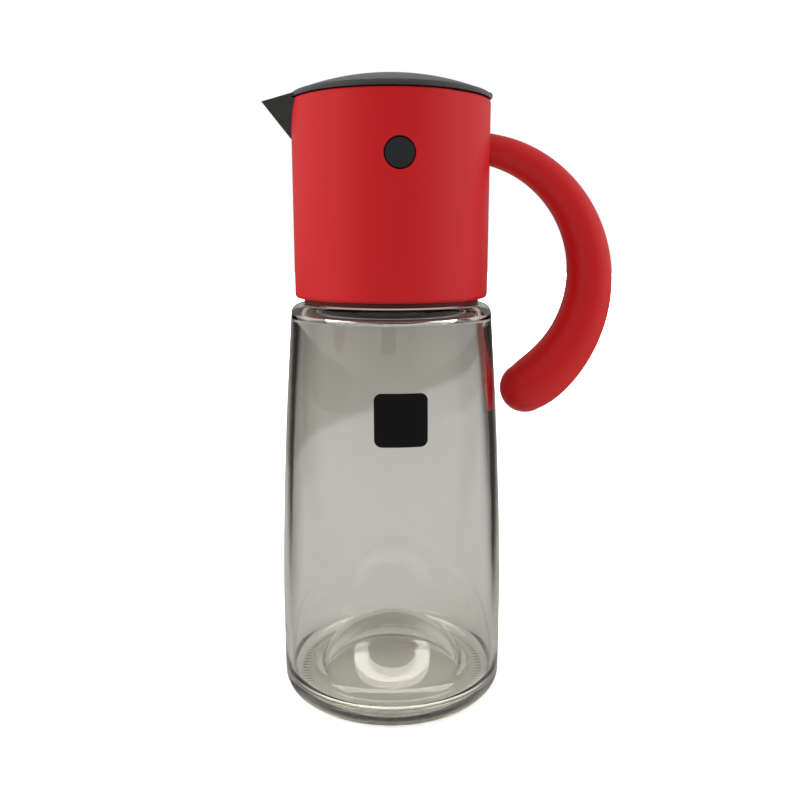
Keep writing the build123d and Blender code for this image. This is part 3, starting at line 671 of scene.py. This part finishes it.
def screw_tree():
    """Pan-head screws with a cross recess and a threaded shank, one at each place, all pointing one way."""
    tree, sizes = new_tree("cross_recess_screws", {
        "Outline": "NodeSocketObject",
        "Places": "NodeSocketObject",
        "Direction": "NodeSocketVector",
        "Head radius": "NodeSocketFloat",
        "Head height": "NodeSocketFloat",
        "Shank radius": "NodeSocketFloat",
        "Pitch": "NodeSocketFloat",
        "Thread depth": "NodeSocketFloat",
        "Steel": "NodeSocketMaterial",
    })
    form = turned(tree, sizes["Outline"], SCREW_COLUMNS, sizes["Shank radius"])
    at = around_axis(tree)
    turns = maths(tree, "DIVIDE", at["height"], sizes["Pitch"])
    rise = maths(tree, "FRACT", maths(tree, "SUBTRACT", turns, at["turn"]))
    tooth = maths(tree, "ABSOLUTE", maths(tree, "SUBTRACT", maths(tree, "MULTIPLY", rise, 2.0), 1.0))
    thread_from = maths(tree, "MULTIPLY", sizes["Head height"], 1.2)
    on_shank = product(
        tree,
        maths(tree, "GREATER_THAN", at["height"], thread_from),
        maths(tree, "COMPARE", at["radius"], sizes["Shank radius"], ON_RADIUS * MM),
    )
    inward = product(tree, tooth, on_shank, sizes["Thread depth"])
    carved = add(tree, "ShaderNodeVectorMath", {
        0: at["outward"],
        "Scale": maths(tree, "MULTIPLY", inward, -1.0),
    }, operation="SCALE")
    cut = add(tree, "GeometryNodeSetPosition", {"Geometry": form, "Offset": carved.outputs["Vector"]})
    arms = add(tree, "GeometryNodeJoinGeometry")
    wide = maths(tree, "MULTIPLY", sizes["Head radius"], CROSS_LENGTH)
    slim = maths(tree, "MULTIPLY", sizes["Head radius"], CROSS_WIDTH)
    for x, y in ((wide, slim), (slim, wide)):
        extent = add(tree, "ShaderNodeCombineXYZ", {"X": x, "Y": y, "Z": sizes["Head height"]})
        arm = add(tree, "GeometryNodeMeshCube", {"Size": extent.outputs["Vector"]})
        tree.links.new(arm.outputs["Mesh"], arms.inputs["Geometry"])
    recess = add(tree, "GeometryNodeMeshBoolean", {
        0: cut.outputs["Geometry"],
        1: arms.outputs["Geometry"],
        "Self Intersection": True,
    }, operation="DIFFERENCE", solver="EXACT")
    spots = add(tree, "GeometryNodeObjectInfo", {"Object": sizes["Places"]})
    aim = add(tree, "FunctionNodeAlignRotationToVector", {"Vector": sizes["Direction"]}, axis="Z")
    screws = add(tree, "GeometryNodeInstanceOnPoints", {
        "Points": spots.outputs["Geometry"],
        "Instance": recess.outputs["Mesh"],
        "Rotation": aim.outputs["Rotation"],
    })
    return ended(tree, screws.outputs["Instances"], sizes["Steel"])


def place_screws(tree, name, node, body, places, direction, sizes, bright):
    """One set of screws, in their solids' place; sizes are head radius, head height, shank radius, length."""
    head_radius, head_height, shank_radius, _length = sizes
    outline = screw_outline(*sizes)
    mesh = bpy.data.meshes.new(name + "_places")
    mesh.from_pydata([[v * MM for v in place] for place in places], [], [])
    spots = bpy.data.objects.new(name + "_places", mesh)
    made = grown(name, tree, {
        "Outline": outline,
        "Places": spots,
        "Direction": direction,
        "Head radius": head_radius * MM,
        "Head height": head_height * MM,
        "Shank radius": shank_radius * MM,
        "Pitch": SCREW_PITCH * MM,
        "Thread depth": SCREW_THREAD * MM,
        "Steel": bright,
    })
    bpy.data.objects.remove(outline)
    bpy.data.objects.remove(spots)
    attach(made, body)
    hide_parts(node)


def all_screws(bright):
    """The two screws behind the handle and the three under the lid's liner."""
    tree = screw_tree()
    low, high = (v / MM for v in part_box("handle_screws"))
    spots = [(low.x, 0, z) for z in (low.z + HANDLE_SCREW_HEAD_RADIUS, high.z - HANDLE_SCREW_HEAD_RADIUS)]
    sizes = (HANDLE_SCREW_HEAD_RADIUS, HANDLE_SCREW_HEAD, HANDLE_SCREW_RADIUS, high.x - low.x)
    place_screws(tree, "handle_pan_screws", "handle_screws", "head", spots, (1, 0, 0), sizes, bright)
    low, high = (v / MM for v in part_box("lid_screws"))
    angles = [math.radians(a) for a in LID_SCREW_ANGLES]
    spots = [(LID_SCREW_CIRCLE * math.cos(a), LID_SCREW_CIRCLE * math.sin(a), low.z) for a in angles]
    sizes = (LID_SCREW_HEAD_RADIUS, LID_SCREW_HEAD, LID_SCREW_RADIUS, high.z - low.z)
    place_screws(tree, "lid_pan_screws", "lid_screws", "lid", spots, (0, 0, 1), sizes, bright)


# The floor, the light and the camera


def frame_step(tree, value, limits):
    """One between two angles in degrees and zero outside them, with edges one degree wide."""
    low, high = (math.radians(limit) for limit in limits)
    edge = math.radians(1)
    entering = soft_step(tree, value, low, low + edge)
    return maths(tree, "MULTIPLY", entering, soft_step(tree, value, high - edge, high, 1.0, 0.0))


def floor_seen_by_glass(tree, metres, distance):
    """What the glass shows of the table: pale and slanted off far behind, dark aside, painted light under the
    glass and by the heel.
    """
    slanted = maths(tree, "MULTIPLY_ADD", metres["X"], FAR_SLANT, metres["Y"])
    across = maths(tree, "ABSOLUTE", metres["X"])
    aside = maths(tree, "SUBTRACT", across, maths(tree, "MULTIPLY", metres["Y"], SIDE_LEAN))
    bearing = maths(tree, "ARCTAN2", maths(tree, "ABSOLUTE", metres["X"]), metres["Y"])
    turned_away = soft_step(tree, bearing, *(math.radians(a) for a in SIDE_DEGREES), 1.0, 0.0)
    side = maths(tree, "MULTIPLY", soft_step(tree, aside, *SIDE_EDGE), turned_away)
    # Painted light: the floor under the bottle is brightened, a pool of light under the glass
    under = soft_step(tree, distance, *UNDER_EDGE, 1.0, 0.0)
    lengthwise = blend(tree, soft_step(tree, slanted, *FAR_EDGE), linear(NEAR_SHADE), linear(FAR_SHADE))
    bounced = blend(tree, side, lengthwise, linear(SIDE_SHADE))
    painted_light_under_glass = blend(tree, under, bounced, UNDER_GLASS_PAINTED_LIGHT)
    # Painted light: a ring on the floor in front of the heel, brightened above one
    ring = product(
        tree,
        soft_step(tree, distance, *HEEL_INSIDE),
        soft_step(tree, distance, *HEEL_OUTSIDE, 1.0, 0.0),
        soft_step(tree, metres["Y"], *HEEL_FRONT, 1.0, 0.0),
    )
    return blend(tree, ring, painted_light_under_glass, HEEL_PAINTED_LIGHT)


def floor():
    """A table top: the camera sees a white sheet with the object's shadow, and the glass sees its shades."""
    made, tree = blank_material("pale_sheet_on_table")
    place = add(tree, "ShaderNodeTexCoord").outputs["Object"]
    metres = add(tree, "ShaderNodeSeparateXYZ", {"Vector": place}).outputs
    distance = add(tree, "ShaderNodeVectorMath", {0: place}, operation="LENGTH").outputs["Value"]
    through_glass = floor_seen_by_glass(tree, metres, distance)
    rays = add(tree, "ShaderNodeLightPath").outputs
    unseen = blend(tree, rays["Is Diffuse Ray"], through_glass, linear(BOUNCE_SHADE))
    white = blend(tree, soft_step(tree, distance, *HORIZON_EDGE), WHITE_SHEET, WHITE_HORIZON)
    shade = blend(tree, rays["Is Camera Ray"], unseen, white)
    surface(tree, add(tree, "ShaderNodeBsdfDiffuse", {"Color": shade}).outputs["BSDF"])
    mesh = bpy.data.meshes.new("table_top")
    rim = [math.radians(360 * i / FLOOR_SIDES) for i in range(FLOOR_SIDES)]
    corners = [(FLOOR_RADIUS * math.cos(a), FLOOR_RADIUS * math.sin(a), 0) for a in rim]
    mesh.from_pydata(corners, [], [range(FLOOR_SIDES)])
    mesh.materials.append(made)
    top = bpy.data.objects.new("table_top", mesh)
    bpy.context.scene.collection.objects.link(top)


def surroundings():
    """A grey room, lighter above and to both sides, with a window in front, and white for the camera."""
    world = bpy.data.worlds.new("pale_room")
    bpy.context.scene.world = world
    world.use_nodes = True
    tree = world.node_tree
    tree.nodes.clear()
    toward = add(tree, "ShaderNodeTexCoord").outputs["Generated"]
    parts = add(tree, "ShaderNodeSeparateXYZ", {"Vector": toward}).outputs
    aside = maths(tree, "ABSOLUTE", parts["X"])
    from_sides = soft_step(tree, aside, 0.35, 1.0, 0.0, 0.45)
    from_above = soft_step(tree, parts["Z"], -0.1, 0.8, 0.3, 0.55)
    grey = {axis: maths(tree, "ADD", from_sides, from_above) for axis in "XYZ"}
    room = add(tree, "ShaderNodeCombineXYZ", grey).outputs["Vector"]
    behind = blend(tree, soft_step(tree, aside, 0.22, 0.5), linear("#98958e"), linear("#c8c5bc"))
    across = maths(tree, "ARCTAN2", parts["X"], maths(tree, "MULTIPLY", parts["Y"], -1.0))
    above = maths(tree, "ARCSINE", parts["Z"])
    window = product(tree, frame_step(tree, across, WINDOW_ACROSS), frame_step(tree, above, WINDOW_ABOVE))
    through_glass = blend(tree, window, behind, WINDOW_GLOW)
    rays = add(tree, "ShaderNodeLightPath").outputs
    seen = blend(tree, rays["Is Transmission Ray"], room, through_glass)
    shown = blend(tree, rays["Is Camera Ray"], seen, (1, 1, 1, 1))
    light = add(tree, "ShaderNodeBackground", {"Color": shown, "Strength": 1.0})
    add(tree, "ShaderNodeOutputWorld", {"Surface": light.outputs["Background"]})


def softbox(name, place, target, side, watts):
    """A square area light in metres, aimed at a point, which shows in no gloss and through no glass."""
    data = bpy.data.lights.new(name, "AREA")
    data.shape = "RECTANGLE"
    data.size = side
    data.size_y = side
    data.energy = watts
    lamp = bpy.data.objects.new(name, data)
    bpy.context.scene.collection.objects.link(lamp)
    lamp.location = place
    lamp.visible_glossy = False
    lamp.visible_transmission = False
    aim = Vector(target) - lamp.location
    lamp.rotation_euler = aim.to_track_quat("-Z", "Y").to_euler()


def camera():
    """The photograph's viewpoint."""
    data = bpy.data.cameras.new("viewpoint")
    data.lens = LENS
    data.sensor_width = SENSOR
    data.clip_start = 0.01
    view = bpy.data.objects.new("viewpoint", data)
    bpy.context.scene.collection.objects.link(view)
    view.location = CAMERA_PLACE
    view.rotation_euler = [math.radians(a) for a in CAMERA_TURN]
    bpy.context.scene.camera = view


def dress_all():
    """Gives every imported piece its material, and makes the springs and the screws."""
    red = moulded_plastic(
        "red_moulded_abs", "#bd0a11", "#c30d14", 0.46, 0.35, 0.012, shine=0.3, dust="#e7b4ae")
    black = moulded_plastic(
        "black_moulded_polypropylene", "#212122", "#252525", 0.52, 0.3, 0.015, shine=0.4)
    dark = moulded_plastic("blue_black_moulded_acetal", "#15181c", "#191c20", 0.45, 0.3, 0.01, shine=0.4)
    satin = moulded_plastic("black_satin_polypropylene", "#313031", "#363436", 0.32, 0.3, 0.008)
    maroon = moulded_plastic("dark_red_moulded_abs", "#5a0c10", "#621013", 0.45, 0.35, 0.012, shine=0.3)
    film = moulded_plastic("black_label_film", "#07080a", "#090a0c", 0.5, 0.2, 0.004, shine=0.15)
    rubber = silicone()
    bright = turned_steel()
    finishes = (
        (red, ("collar_shell", "handle")),
        (black, ("spout_insert", "lid_liner", "weight_plug")),
        (dark, ("release_button_front", "release_button_back")),
        (satin, ("lid_cover",)),
        (maroon, ("threaded_sleeve",)),
        (film, ("bottle_label",)),
        (rubber, ("neck_gasket", "insert_seal", "lid_gasket")),
        (bright, ("counterweight", "hinge_pin", "handle_backing_plate")),
    )
    for finish, names in finishes:
        for name in names:
            dress(name, finish)
    button_springs(bright)
    all_screws(bright)


dress_all()
bottle_glass(smoked_glass())
floor()
surroundings()
for lamp_settings in LAMPS:
    softbox(*lamp_settings)
camera()
view_settings = bpy.context.scene.view_settings
view_settings.view_transform = "Standard"
